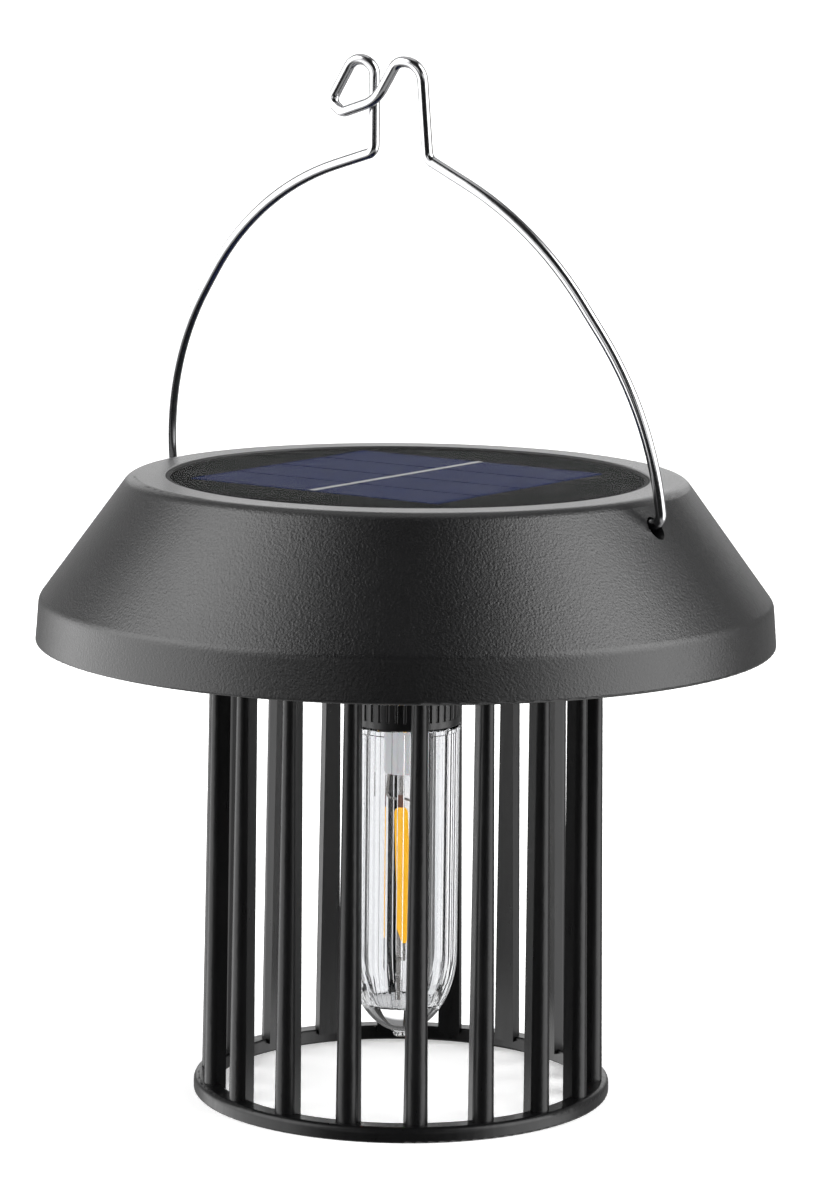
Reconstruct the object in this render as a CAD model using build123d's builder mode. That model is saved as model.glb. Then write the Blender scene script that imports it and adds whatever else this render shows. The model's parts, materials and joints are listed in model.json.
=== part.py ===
from build123d import *
import os
from math import acos, cos, degrees, radians, sin, sqrt

# Solar garden light: a conical roof with a solar panel on top, a lamp that hangs from
# the floor of the roof inside a barred cage, and a wire bail that swings on the roof.
# Millimetres. Z is up, the axis of the lamp is Z, and z = 0 is the foot of the cage.

os.makedirs("parts", exist_ok=True)

# ---------------------------------------------------------------- driving dimensions
FIT = 0.05                  # gap round a screw shank or a bonded piece
LOOSE = 0.3                 # gap round a piece that drops in or slides

# screws: (radius and height of the head), (radius and length of the shank)
ROOF_SCREW = ((2.7, 1.6), (1.4, 9.8))
CAGE_SCREW = ((2.4, 1.6), (1.2, 8.0))
SOCKET_SCREW = ((1.8, 1.2), (0.9, 4.4))
DOOR_SCREW = ((1.8, 0.9), (0.9, 2.9))
BOARD_SCREW = ((1.9, 1.2), (0.9, 5.0))
ROOF_SCREW_HOLE = 1.6           # radius of the clearance hole for each kind
CAGE_SCREW_HOLE = 1.4
SMALL_SCREW_HOLE = 1.1
ROOF_SCREW_SINK = (3.1, 1.8)    # radius and depth of the counterbore
DOOR_SCREW_SINK = (2.0, 1.0)

ROOF_RADIUS = 75.0
ROOF_RIM_Z = 93.4
BAND_TOP_RADIUS = 74.3
BAND_TOP_Z = 102.2
SHOULDER_RADIUS = 56.2
ROOF_TOP_Z = 127.0
ROOF_WALL = 2.0
ROOF_THICK_BAND_RADIUS = 71.0
ROOF_REBATE_RADIUS = 73.0
PANEL_OPENING_RADIUS = 48.8
PANEL_SEAT_RADIUS = 45.0
PANEL_SEAT_Z = 124.7

PANEL_RADIUS = 47.9
PANEL_SEAL_THICKNESS = 0.4
PANEL_BOARD_THICKNESS = 1.2
PANEL_TOP_Z = 126.75
CELL_COUNT = 4
CELL_ARRAY = 60.0
CELL_GAP = 1.0
CELL_THICKNESS = 0.2
CELL_CENTRE = (-1.9, 3.4)
CELL_ANGLE = -35.1          # direction of the strips, from +X
CELL_TRIM_RADIUS = 46.6     # the cells' outermost corner is trimmed to the round board
TABBING_WIDTH = 1.3
TABBING_THICKNESS = 0.1
SEAL_INSET = 0.2            # a seal is this much narrower than its ledge

FLOOR_Z = 95.0
FLOOR_THICKNESS = 2.5
FLOOR_RADIUS = 72.6
FLOOR_SEAL_TOP_Z = 98.7
ROOF_SCREW_PITCH_RADIUS = 62.0
ROOF_SCREW_PAD = (5.0, 1.5)     # radius and height
ROOF_BOSS_RADIUS = 3.5
ROOF_BOSS_TOP_Z = 113.0
ROOF_BOSS_HOLE = 10.0           # depth of the screw hole in each boss

CAGE_BARS = 18
CAGE_FIRST_BAR = -85.62     # direction of the first bar, from +X
FOOT_RADIUS = 42.7
FOOT_INNER_RADIUS = 38.2
FOOT_HEIGHT = 3.1
BAR_FOOT = (41.4, 4.7, 4.0)     # outer radius, width, depth at z = 0
BAR_HEAD = (40.1, 3.0, 3.6)     # the same at the top ring
BAR_FLANK = 2.0                 # depth of the flat sides behind the rounded nose
BAR_ROOT = 1.0                  # each bar starts and ends this deep in a ring
HEAD_RING_Z = 88.0
HEAD_RING_RADIUS = 40.4
HEAD_RING_INNER_RADIUS = 35.4
CAGE_SCREW_PITCH_RADIUS = 38.0
CAGE_SCREW_HOLE_DEPTH = 6.2

LENS_RADIUS = 11.2
LENS_DOME_Z = 29.0
LENS_DOME_HEIGHT = 17.0
LENS_NUB = (2.5, 1.6)               # radius where it meets the dome, and at its foot
LENS_FOOT_Z = 10.95
LENS_BORE_RADIUS = 9.1
LENS_BORE_DOME_HEIGHT = 14.6
LENS_WELL_RADIUS = 6.5              # flat floor of the hollow
LENS_WELL_Z = 18.3
LENS_WELL_BEVEL = 0.8
LENS_FLANGE = (11.5, 75.3, 76.3)    # radius, bottom, top
LENS_SPIGOT_RADIUS = 9.8
LENS_SPIGOT_TOP_Z = 82.0
LENS_MOUTH_RADIUS = 8.2
LENS_SEAL_RADIUS = 7.2

SOCKET_RADIUS = 11.2
SOCKET_FOOT_Z = 76.4
SOCKET_BORE_RADIUS = 9.95
SOCKET_WELL_RADIUS = 9.2            # inside, above the web
SOCKET_WEB = (84.0, 87.0)           # bottom and top of the web that carries the holder
SOCKET_FLANGE_RADIUS = 18.0
SOCKET_FLANGE_THICKNESS = 2.0
SOCKET_GROOVES = 40
SOCKET_GROOVE = (0.45, 15.6)        # radius and length
SOCKET_GROOVE_OFFSET = 0.15         # centre of a groove, outside the socket's surface
SOCKET_LIP = 1.6                    # plain band under the grooves
SOCKET_SCREW_PITCH_RADIUS = 14.8

HOLDER_RADIUS = 4.2
HOLDER_FOOT_Z = 66.2
HOLDER_GAP = 0.15                   # between the holder and the socket's web
HOLDER_FLANGE = (6.5, 1.5)          # radius and thickness
FILAMENT_TOP = (-0.6, 58.8)         # x and z of the two ends of the filament
FILAMENT_FOOT = (0.3, 30.6)
FILAMENT_WIDTH = 2.8
FILAMENT_TIP = (0.8, 3.0)           # width of the foot, and how far up it widens
FILAMENT_THICKNESS = 1.3
TAB_SIZE = (1.3, 0.5, 2.6)
LEAD_RADIUS = 0.25
LEAD_STEM_RADIUS = 0.45
STAY_SIZE = (1.1, 0.4)
STAY_PIN = (0.32, 3.6)              # radius and length of the lead under the filament
STAY_ARM = (1.4, 0.9, 0.5)
JOIN = 0.05                         # gap between soldered pieces of different nodes

BATTERY_Y = 49.2                    # the AA cell lies along X, behind the cage
BATTERY_Z = 106.4
BATTERY_RADIUS = 7.25
BATTERY_CAN_RADIUS = 7.0
BATTERY_LENGTH = 49.3
BATTERY_NUB = (2.7, 1.2)            # radius and length
JACKET_INSET = 0.8                  # bare metal at each end of the cell
BATTERY_TUB_TOP_Z = 99.0            # top of the ledge that the cradle stands on
TUB_MARGIN = 2.0                    # width of the ledge round the door
TUB_CORNER = 3.0
CRADLE_HALF_LENGTH = 27.5
CRADLE_WALL = 1.2
LEAD_NOTCH = 2.4                    # way out for the lead at each end of the cradle
LEAD_NOTCH_HEIGHT = 3.0
CONTACT_SIZE = (0.5, 9.0, 11.5)
CONTACT_RISE = 1.0                  # the contacts start this far above the ledge
LEAF = (0.4, 7.0)                   # thickness and width of the sprung contact
DOOR_SIZE = (64.8, 17.0, 1.8)
DOOR_CORNER = 1.0
DOOR_SEAL_THICKNESS = 0.4
DOOR_SEAL_BORDER = (0.8, 0.7)
DOOR_OPENING = (56.0, 15.2)
DOOR_SCREW_X = 29.9

BOARD_CENTRE = (-45.0, 0.0)
BOARD_SIZE = (34.0, 24.0, 1.6)
BOARD_CORNER = 2.0
BOARD_Z = 101.5
BOARD_SCREW_OFFSET = (14.0, 9.0)    # of the two screws from the board's centre
BOARD_POST_RADIUS = 2.4
CHIP_OFFSET = (2.0, 3.0)
CHIP_SIZE = (5.0, 4.0, 1.5)
CHIP_RISE = 0.3
CHIP_LEG = (0.45, 1.2, 0.5)
CHIP_LEG_PITCH = (1.27, 4.8)
COIL_OFFSET = (-8.0, 4.0)
COIL_FLANGE = (3.2, 0.8)            # radius and thickness of the drum's two flanges
COIL_CORE = (2.2, 3.8)              # radius and height of its core

SWITCH_CENTRE = (0.0, -56.0)
SWITCH_SIZE = (15.0, 8.0, 6.0)
SWITCH_CORNER = 0.6
SWITCH_TRAVEL = 2.5
KNOB_SIZE = (3.4, 2.8)
KNOB_FLANGE = (5.4, 4.6, 1.4)
KNOB_FOOT_Z = 93.8
KNOB_GROOVES = (3, 0.9)             # number and pitch
KNOB_GROOVE = (0.35, 0.3)           # width and depth

WIRE_RADIUS = 1.1
HINGE_Z = 122.4
HINGE_ANGLE = -36.5                 # direction of the bail's hinge axis, from +X
BAIL_LEAN = 8.5                     # the bail leans from upright, towards -Y
BAIL_HALF_WIDTH = 61.4
BAIL_END = 53.2                     # inner end of the bent-in wire
BAIL_END_BEND = 2.4
BAIL_ARM_RADIUS = 75.4
BAIL_ARM_START = 2.0                # the arm's arc starts this far round, in degrees
BAIL_HOLE_RADIUS = 2.1
BAIL_HOLE_DROP = 0.6                # the hole's centre is this far below the hinge axis
BAIL_ARM_ENDS = (72.0, 66.0)        # the left and right arms' arcs end this far round
BAIL_ARM_BEND = 66.0                # of the two bends that make each arm's arc

LEAD_WIRE_RADIUS = 0.6

FLOOR_TOP_Z = FLOOR_Z + FLOOR_THICKNESS
PANEL_BOARD_Z = PANEL_SEAT_Z + PANEL_SEAL_THICKNESS
CELL_Z = PANEL_BOARD_Z + PANEL_BOARD_THICKNESS
TUB_LEDGE_Z = FLOOR_Z + DOOR_SIZE[2] + DOOR_SEAL_THICKNESS
CONE_SLOPE = (BAND_TOP_RADIUS - SHOULDER_RADIUS) / (ROOF_TOP_Z - BAND_TOP_Z)

BASE = (Align.CENTER, Align.CENTER, Align.MIN)
HUNG = (Align.CENTER, Align.CENTER, Align.MAX)


# ---------------------------------------------------------------- helpers
def ring_spots(radius, count, start, z):
    """Points spaced evenly round the Z axis at one height."""
    angles = [radians(start + 360.0 * i / count) for i in range(count)]
    return [(radius * cos(a), radius * sin(a), z) for a in angles]


def save(builder, label):
    """Names a finished piece and writes it."""
    builder.part.label = label
    export_step(builder.part, f"parts/{label}.step")


def turned(corners, radii):
    """A solid of revolution from (radius, z) corners, each with its own fillet."""
    with BuildPart() as body:
        with BuildSketch(Plane.XZ):
            with BuildLine():
                FilletPolyline(*corners, radius=radii, close=True)
            make_face()
        revolve(axis=Axis.Z)
    return body.part


def flat_ring(inner, outer, bottom, top):
    """A plain ring about the Z axis."""
    with BuildPart() as ring:
        with BuildSketch(Plane.XY.offset(bottom)):
            Circle(outer)
            Circle(inner, mode=Mode.SUBTRACT)
        extrude(amount=top - bottom)
    return ring.part


def cross_head_screw(size, tip_down=True):
    """A cross-recessed pan-head screw. The underside of its head is at the origin."""
    (head_radius, head_height), (shank_radius, shank_length) = size
    recess_depth = head_height * 0.55
    recess_width = head_radius * 0.25
    with BuildPart() as screw:
        Cylinder(head_radius, head_height, align=BASE)
        fillet(screw.edges().sort_by(Axis.Z)[-1], head_height * 0.4)
        with Locations((0, 0, head_height)):
            Box(head_radius, recess_width, recess_depth, align=HUNG, mode=Mode.SUBTRACT)
            Box(recess_width, head_radius, recess_depth, align=HUNG, mode=Mode.SUBTRACT)
        Cylinder(shank_radius, shank_length, align=HUNG)
        chamfer(screw.edges().sort_by(Axis.Z)[0], shank_radius * 0.4)
    if tip_down:
        return screw.part
    return screw.part.rotate(Axis.X, 180)


def screw_set(screw, spots, label):
    """Writes identical screws as one node of separate solids."""
    with BuildPart() as screws:
        with Locations(*spots):
            add(screw)
    save(screws, label)


def lead_wire(points, bend, radius):
    """A round wire along straight runs joined by arcs of one radius."""
    with BuildPart() as wire:
        with BuildLine() as route:
            FilletPolyline(*points, radius=bend)
        with BuildSketch(Plane(origin=route.line @ 0, z_dir=route.line % 0)):
            Circle(radius)
        sweep()
    return wire.part


def inner_cone_radius(z):
    """Radius of the inside of the roof's sloping wall at a height."""
    wall_across = ROOF_WALL * sqrt(1 + CONE_SLOPE**2)
    return BAND_TOP_RADIUS - wall_across - CONE_SLOPE * (z - BAND_TOP_Z)


def inner_cone_height(radius):
    """Height at which the inside of the sloping wall has a radius."""
    return BAND_TOP_Z + (inner_cone_radius(BAND_TOP_Z) - radius) / CONE_SLOPE


def bail_plane(lean):
    """Plane of the bail: local X along the hinge axis, local Y up along its middle."""
    turn = radians(HINGE_ANGLE)
    tilt = radians(lean)
    across = Vector(cos(turn), sin(turn), 0)
    facing = Vector(sin(turn) * cos(tilt), -cos(turn) * cos(tilt), -sin(tilt))
    return Plane(origin=(0, 0, HINGE_Z), x_dir=across, z_dir=facing)


# ---------------------------------------------------------------- roof
roof_screw_spots = ring_spots(ROOF_SCREW_PITCH_RADIUS, 4, 45.0, 0.0)
inner_shoulder_z = ROOF_TOP_Z - ROOF_WALL
seat_wall_radius = PANEL_OPENING_RADIUS + ROOF_WALL

roof_corners = [
    (ROOF_RADIUS, ROOF_RIM_Z),
    (BAND_TOP_RADIUS, BAND_TOP_Z),
    (SHOULDER_RADIUS, ROOF_TOP_Z),
    (PANEL_OPENING_RADIUS, ROOF_TOP_Z),
    (PANEL_OPENING_RADIUS, PANEL_SEAT_Z),
    (PANEL_SEAT_RADIUS, PANEL_SEAT_Z),
    (PANEL_SEAT_RADIUS, PANEL_SEAT_Z - ROOF_WALL),
    (seat_wall_radius, PANEL_SEAT_Z - ROOF_WALL),
    (seat_wall_radius, inner_shoulder_z),
    (inner_cone_radius(inner_shoulder_z), inner_shoulder_z),
    (ROOF_THICK_BAND_RADIUS, inner_cone_height(ROOF_THICK_BAND_RADIUS)),
    (ROOF_THICK_BAND_RADIUS, FLOOR_SEAL_TOP_Z),
    (ROOF_REBATE_RADIUS, FLOOR_SEAL_TOP_Z),
    (ROOF_REBATE_RADIUS, ROOF_RIM_Z),
]
roof_fillets = [0.6, 3.0, 3.0, 0.3, 0, 0.3, 0, 0, 0, 1.0, 0, 0, 0, 0.4]

with BuildPart() as roof_shell:
    add(turned(roof_corners, roof_fillets))
    pad_top_z = FLOOR_TOP_Z + ROOF_SCREW_PAD[1]
    with Locations(*[(x, y, pad_top_z) for x, y, _ in roof_screw_spots]):
        Cylinder(ROOF_BOSS_RADIUS, ROOF_BOSS_TOP_Z - pad_top_z, align=BASE)
        Cylinder(ROOF_SCREW[1][0] + FIT, ROOF_BOSS_HOLE, align=BASE, mode=Mode.SUBTRACT)
    for side in (0.0, 180.0):
        turn = radians(HINGE_ANGLE + side)
        outwards = Vector(cos(turn), sin(turn), 0)
        start = outwards * seat_wall_radius + Vector(0, 0, HINGE_Z - BAIL_HOLE_DROP)
        with BuildSketch(Plane(origin=start, z_dir=outwards)):
            Circle(BAIL_HOLE_RADIUS)
        extrude(amount=ROOF_RADIUS - seat_wall_radius, mode=Mode.SUBTRACT)
save(roof_shell, "roof_shell")

# ---------------------------------------------------------------- solar panel
seal_radius = PANEL_OPENING_RADIUS - FIT

with BuildPart() as panel_seal:
    add(flat_ring(PANEL_SEAT_RADIUS + SEAL_INSET, seal_radius, PANEL_SEAT_Z, PANEL_BOARD_Z))
    add(flat_ring(PANEL_RADIUS + FIT, seal_radius, PANEL_BOARD_Z, PANEL_TOP_Z))
save(panel_seal, "panel_seal")

with BuildPart() as panel_board:
    with BuildSketch(Plane.XY.offset(PANEL_BOARD_Z)):
        Circle(PANEL_RADIUS)
    extrude(amount=PANEL_BOARD_THICKNESS)
save(panel_board, "panel_board")

cell_plane = Plane(
    origin=(*CELL_CENTRE, CELL_Z),
    x_dir=(cos(radians(CELL_ANGLE)), sin(radians(CELL_ANGLE)), 0),
    z_dir=(0, 0, 1),
)
cell_pitch = CELL_ARRAY / CELL_COUNT

with BuildPart() as solar_cells:
    with BuildSketch(cell_plane):
        with GridLocations(0, cell_pitch, 1, CELL_COUNT):
            Rectangle(CELL_ARRAY, cell_pitch - CELL_GAP)
    extrude(amount=CELL_THICKNESS)
    with Locations((0, 0, CELL_Z)):
        Cylinder(CELL_TRIM_RADIUS, CELL_THICKNESS, align=BASE, mode=Mode.INTERSECT)
save(solar_cells, "solar_cells")

with BuildPart() as cell_tabbing:
    with BuildSketch(cell_plane.offset(CELL_THICKNESS)):
        Rectangle(TABBING_WIDTH, CELL_ARRAY - CELL_GAP)
    extrude(amount=TABBING_THICKNESS)
save(cell_tabbing, "cell_tabbing")

with BuildPart() as panel_cover:
    with BuildSketch(Plane.XY.offset(CELL_Z)):
        Circle(PANEL_RADIUS)
    extrude(amount=PANEL_TOP_Z - CELL_Z)
    add(solar_cells.part, mode=Mode.SUBTRACT)
    add(cell_tabbing.part, mode=Mode.SUBTRACT)
save(panel_cover, "panel_cover")

# ---------------------------------------------------------------- floor of the roof
cage_screw_spots = ring_spots(CAGE_SCREW_PITCH_RADIUS, 3, 30.0, 0.0)
socket_screw_spots = ring_spots(SOCKET_SCREW_PITCH_RADIUS, 3, 30.0, 0.0)
board_x, board_y = BOARD_CENTRE
board_offset_x, board_offset_y = BOARD_SCREW_OFFSET
board_screw_spots = [
    (board_x + board_offset_x, board_y + board_offset_y, 0.0),
    (board_x - board_offset_x, board_y - board_offset_y, 0.0),
]
board_rest_spots = [
    (board_x + board_offset_x, board_y - board_offset_y, 0.0),
    (board_x - board_offset_x, board_y + board_offset_y, 0.0),
]

with BuildPart() as base_plate:
    with BuildSketch(Plane.XY.offset(FLOOR_Z)):
        Circle(FLOOR_RADIUS)
        Circle(SOCKET_RADIUS + LOOSE, mode=Mode.SUBTRACT)
    extrude(amount=FLOOR_THICKNESS)
    # raised ledge round the battery opening
    with BuildSketch(Plane.XY.offset(FLOOR_TOP_Z)):
        with Locations((0, BATTERY_Y)):
            RectangleRounded(DOOR_SIZE[0] + 2 * TUB_MARGIN, DOOR_SIZE[1] + 2 * TUB_MARGIN,
                             TUB_CORNER)
    extrude(amount=BATTERY_TUB_TOP_Z - FLOOR_TOP_Z)
    with Locations((0, BATTERY_Y, FLOOR_Z)):
        Box(DOOR_SIZE[0] + LOOSE, DOOR_SIZE[1] + LOOSE, TUB_LEDGE_Z - FLOOR_Z,
            align=BASE, mode=Mode.SUBTRACT)
        Box(*DOOR_OPENING, BATTERY_TUB_TOP_Z - FLOOR_Z, align=BASE, mode=Mode.SUBTRACT)
    with Locations((DOOR_SCREW_X, BATTERY_Y), (-DOOR_SCREW_X, BATTERY_Y)):
        Cylinder(DOOR_SCREW[1][0] + FIT, BATTERY_TUB_TOP_Z, align=BASE, mode=Mode.SUBTRACT)
    # pads and counterbored holes for the roof screws
    with Locations(*[(x, y, FLOOR_TOP_Z) for x, y, _ in roof_screw_spots]):
        Cylinder(*ROOF_SCREW_PAD, align=BASE)
    with Locations(*[(x, y, FLOOR_Z) for x, y, _ in roof_screw_spots]):
        Cylinder(ROOF_SCREW_HOLE, pad_top_z - FLOOR_Z, align=BASE, mode=Mode.SUBTRACT)
        Cylinder(*ROOF_SCREW_SINK, align=BASE, mode=Mode.SUBTRACT)
    with Locations(*cage_screw_spots):
        Cylinder(CAGE_SCREW_HOLE, FLOOR_TOP_Z, align=BASE, mode=Mode.SUBTRACT)
    with Locations(*socket_screw_spots):
        Cylinder(SOCKET_SCREW[1][0] + FIT, FLOOR_TOP_Z, align=BASE, mode=Mode.SUBTRACT)
    # posts under the circuit board
    post_height = BOARD_Z - FLOOR_TOP_Z
    with Locations(*[(x, y, FLOOR_TOP_Z) for x, y, _ in board_screw_spots]):
        Cylinder(BOARD_POST_RADIUS, post_height, align=BASE)
        Cylinder(BOARD_SCREW[1][0] + FIT, post_height, align=BASE, mode=Mode.SUBTRACT)
    with Locations(*[(x, y, FLOOR_TOP_Z) for x, y, _ in board_rest_spots]):
        Cylinder(BOARD_POST_RADIUS, post_height, align=BASE)
    # slot for the switch knob
    with Locations((*SWITCH_CENTRE, FLOOR_Z)):
        Box(KNOB_SIZE[0] + SWITCH_TRAVEL + 2 * LOOSE, KNOB_SIZE[1] + 2 * LOOSE,
            FLOOR_THICKNESS, align=BASE, mode=Mode.SUBTRACT)
save(base_plate, "base_plate")

with BuildPart() as base_seal:
    add(flat_ring(ROOF_THICK_BAND_RADIUS + SEAL_INSET, FLOOR_RADIUS, FLOOR_TOP_Z,
                  FLOOR_SEAL_TOP_Z))
save(base_seal, "base_seal")

roof_screw = cross_head_screw(ROOF_SCREW, tip_down=False)
roof_sink_z = FLOOR_Z + ROOF_SCREW_SINK[1]
screw_set(roof_screw, [(x, y, roof_sink_z) for x, y, _ in roof_screw_spots], "base_screws")

# ---------------------------------------------------------------- cage
def bar_outline(outer_radius, width, depth):
    """Outline of a bar that stands on +X: flat back and sides, and a rounded nose."""
    back = outer_radius - depth
    with BuildSketch() as outline:
        with BuildLine():
            Polyline((back + BAR_FLANK, -width / 2), (back, -width / 2),
                     (back, width / 2), (back + BAR_FLANK, width / 2))
            ThreePointArc((back + BAR_FLANK, width / 2), (outer_radius, 0),
                          (back + BAR_FLANK, -width / 2))
        make_face()
    return outline.sketch


with BuildPart() as bar:
    with BuildSketch(Plane.XY.offset(FOOT_HEIGHT - BAR_ROOT)):
        add(bar_outline(*BAR_FOOT))
    with BuildSketch(Plane.XY.offset(HEAD_RING_Z + BAR_ROOT)):
        add(bar_outline(*BAR_HEAD))
    loft()

with BuildPart() as cage:
    add(turned(
        [(FOOT_RADIUS, 0), (FOOT_RADIUS, FOOT_HEIGHT),
         (FOOT_INNER_RADIUS, FOOT_HEIGHT), (FOOT_INNER_RADIUS, 0)],
        [0.5, 1.2, 0.4, 0.5],
    ))
    add(turned(
        [(HEAD_RING_RADIUS, HEAD_RING_Z), (HEAD_RING_RADIUS, FLOOR_Z),
         (HEAD_RING_INNER_RADIUS, FLOOR_Z), (HEAD_RING_INNER_RADIUS, HEAD_RING_Z)],
        [0.6, 0, 0, 0.6],
    ))
    for index in range(CAGE_BARS):
        add(bar.part.rotate(Axis.Z, CAGE_FIRST_BAR + 360.0 * index / CAGE_BARS))
    with Locations(*[(x, y, FLOOR_Z) for x, y, _ in cage_screw_spots]):
        Cylinder(CAGE_SCREW[1][0] + FIT, CAGE_SCREW_HOLE_DEPTH, align=HUNG,
                 mode=Mode.SUBTRACT)
save(cage, "cage")

cage_screw = cross_head_screw(CAGE_SCREW)
screw_set(cage_screw, [(x, y, FLOOR_TOP_Z) for x, y, _ in cage_screw_spots], "cage_screws")

# ---------------------------------------------------------------- lamp
socket_top_z = FLOOR_TOP_Z + SOCKET_FLANGE_THICKNESS
web_bore_radius = HOLDER_RADIUS + HOLDER_GAP

with BuildPart() as lamp_socket:
    add(turned(
        [(SOCKET_RADIUS, SOCKET_FOOT_Z), (SOCKET_RADIUS, FLOOR_TOP_Z),
         (SOCKET_FLANGE_RADIUS, FLOOR_TOP_Z), (SOCKET_FLANGE_RADIUS, socket_top_z),
         (SOCKET_WELL_RADIUS, socket_top_z), (SOCKET_WELL_RADIUS, SOCKET_WEB[1]),
         (web_bore_radius, SOCKET_WEB[1]), (web_bore_radius, SOCKET_WEB[0]),
         (SOCKET_BORE_RADIUS, SOCKET_WEB[0]), (SOCKET_BORE_RADIUS, SOCKET_FOOT_Z)],
        [0.4, 0, 0, 0.5, 0.3, 0, 0, 0, 0, 0.2],
    ))
    with PolarLocations(SOCKET_RADIUS + SOCKET_GROOVE_OFFSET, SOCKET_GROOVES):
        with Locations((0, 0, SOCKET_FOOT_Z + SOCKET_LIP)):
            Cylinder(*SOCKET_GROOVE, align=BASE, mode=Mode.SUBTRACT)
    with Locations(*socket_screw_spots):
        Cylinder(SMALL_SCREW_HOLE, socket_top_z, align=BASE, mode=Mode.SUBTRACT)
save(lamp_socket, "lamp_socket")

socket_screw = cross_head_screw(SOCKET_SCREW)
screw_set(socket_screw, [(x, y, socket_top_z) for x, y, _ in socket_screw_spots],
          "socket_screws")


def dome_point(radius, dome_radius, height):
    """Turn round an elliptical dome from its rim, and the height there, at a radius."""
    ratio = radius / dome_radius
    return degrees(acos(ratio)), LENS_DOME_Z - height * sqrt(1 - ratio**2)


nub_radius, nub_foot_radius = LENS_NUB
nub_turn, nub_top_z = dome_point(nub_radius, LENS_RADIUS, LENS_DOME_HEIGHT)
well_turn, well_edge_z = dome_point(LENS_WELL_RADIUS, LENS_BORE_RADIUS, LENS_BORE_DOME_HEIGHT)

mouth_bevel = LENS_BORE_RADIUS - LENS_MOUTH_RADIUS
nub_bevel = nub_radius - nub_foot_radius

with BuildPart() as lens_tube:
    with BuildSketch(Plane.XZ):
        with BuildLine():
            EllipticalCenterArc((0, LENS_DOME_Z), LENS_RADIUS, LENS_DOME_HEIGHT,
                                arc_size=-nub_turn)
            Polyline((LENS_RADIUS, LENS_DOME_Z), (LENS_RADIUS, LENS_FLANGE[1]),
                     (LENS_FLANGE[0], LENS_FLANGE[1]), (LENS_FLANGE[0], LENS_FLANGE[2]),
                     (LENS_SPIGOT_RADIUS, LENS_FLANGE[2]),
                     (LENS_SPIGOT_RADIUS, LENS_SPIGOT_TOP_Z),
                     (LENS_MOUTH_RADIUS, LENS_SPIGOT_TOP_Z),
                     (LENS_MOUTH_RADIUS, LENS_FLANGE[2] + mouth_bevel),
                     (LENS_BORE_RADIUS, LENS_FLANGE[2]),
                     (LENS_BORE_RADIUS, LENS_DOME_Z))
            EllipticalCenterArc((0, LENS_DOME_Z), LENS_BORE_RADIUS, LENS_BORE_DOME_HEIGHT,
                                arc_size=-well_turn)
            Polyline((LENS_WELL_RADIUS, well_edge_z),
                     (LENS_WELL_RADIUS - LENS_WELL_BEVEL, LENS_WELL_Z),
                     (0, LENS_WELL_Z), (0, LENS_FOOT_Z), (nub_foot_radius, LENS_FOOT_Z),
                     (nub_radius, LENS_FOOT_Z + nub_bevel), (nub_radius, nub_top_z))
        make_face()
    revolve(axis=Axis.Z)
save(lens_tube, "lens_tube")

with BuildPart() as lens_seal:
    add(flat_ring(LENS_SEAL_RADIUS, SOCKET_BORE_RADIUS - FIT, LENS_SPIGOT_TOP_Z,
                  SOCKET_WEB[0]))
save(lens_seal, "lens_seal")

holder_flange_radius, holder_flange_thickness = HOLDER_FLANGE
holder_top_z = SOCKET_WEB[1] + holder_flange_thickness
with BuildPart() as led_holder:
    add(turned(
        [(0, HOLDER_FOOT_Z), (HOLDER_RADIUS, HOLDER_FOOT_Z), (HOLDER_RADIUS, SOCKET_WEB[1]),
         (holder_flange_radius, SOCKET_WEB[1]), (holder_flange_radius, holder_top_z),
         (0, holder_top_z)],
        [0, 0.5, 0, 0.3, 0.3, 0],
    ))
save(led_holder, "led_holder")

foot_x, foot_z = FILAMENT_FOOT
top_x, top_z = FILAMENT_TOP
filament_length = sqrt((top_x - foot_x) ** 2 + (top_z - foot_z) ** 2)
half_width = FILAMENT_WIDTH / 2
half_tip, tip_length = FILAMENT_TIP[0] / 2, FILAMENT_TIP[1]
# local X across the filament, local Y up along it
filament_plane = Plane(
    origin=(foot_x, FILAMENT_THICKNESS / 2, foot_z),
    x_dir=(top_z - foot_z, 0, foot_x - top_x),
    z_dir=(0, -1, 0),
)

with BuildPart() as led_filament:
    with BuildSketch(filament_plane):
        with BuildLine():
            FilletPolyline(
                (-half_tip, 0), (half_tip, 0), (half_width, tip_length),
                (half_width, filament_length), (-half_width, filament_length),
                (-half_width, tip_length),
                radius=[0, 0, 1.0, 1.2, 1.2, 1.0], close=True)
        make_face()
    extrude(amount=FILAMENT_THICKNESS)
save(led_filament, "led_filament")

tab_foot_z = top_z + JOIN
tab_top_z = tab_foot_z + TAB_SIZE[2]
stem_foot_z = tab_top_z + JOIN
with BuildPart() as filament_tab:
    with Locations((top_x, 0, tab_foot_z)):
        Box(*TAB_SIZE, align=BASE)
save(filament_tab, "filament_tab")

# a hooked lead on each side of the tab, and a stem from its top
lead_start = TAB_SIZE[0] / 2 + JOIN
with BuildPart() as filament_leads:
    add(lead_wire([(top_x - lead_start, 0, top_z + 1.8), (top_x - 2.9, 0, top_z + 2.0),
                   (top_x - 2.6, 0, HOLDER_FOOT_Z)], [1.2], LEAD_RADIUS))
    add(lead_wire([(top_x + lead_start, 0, top_z + 1.9), (top_x + 2.6, 0, top_z + 1.2),
                   (top_x + 3.4, 0, HOLDER_FOOT_Z)], [0.8], LEAD_RADIUS))
    with Locations((top_x, 0, stem_foot_z)):
        Cylinder(LEAD_STEM_RADIUS, HOLDER_FOOT_Z - stem_foot_z, align=BASE)
save(filament_leads, "filament_leads")

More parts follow.
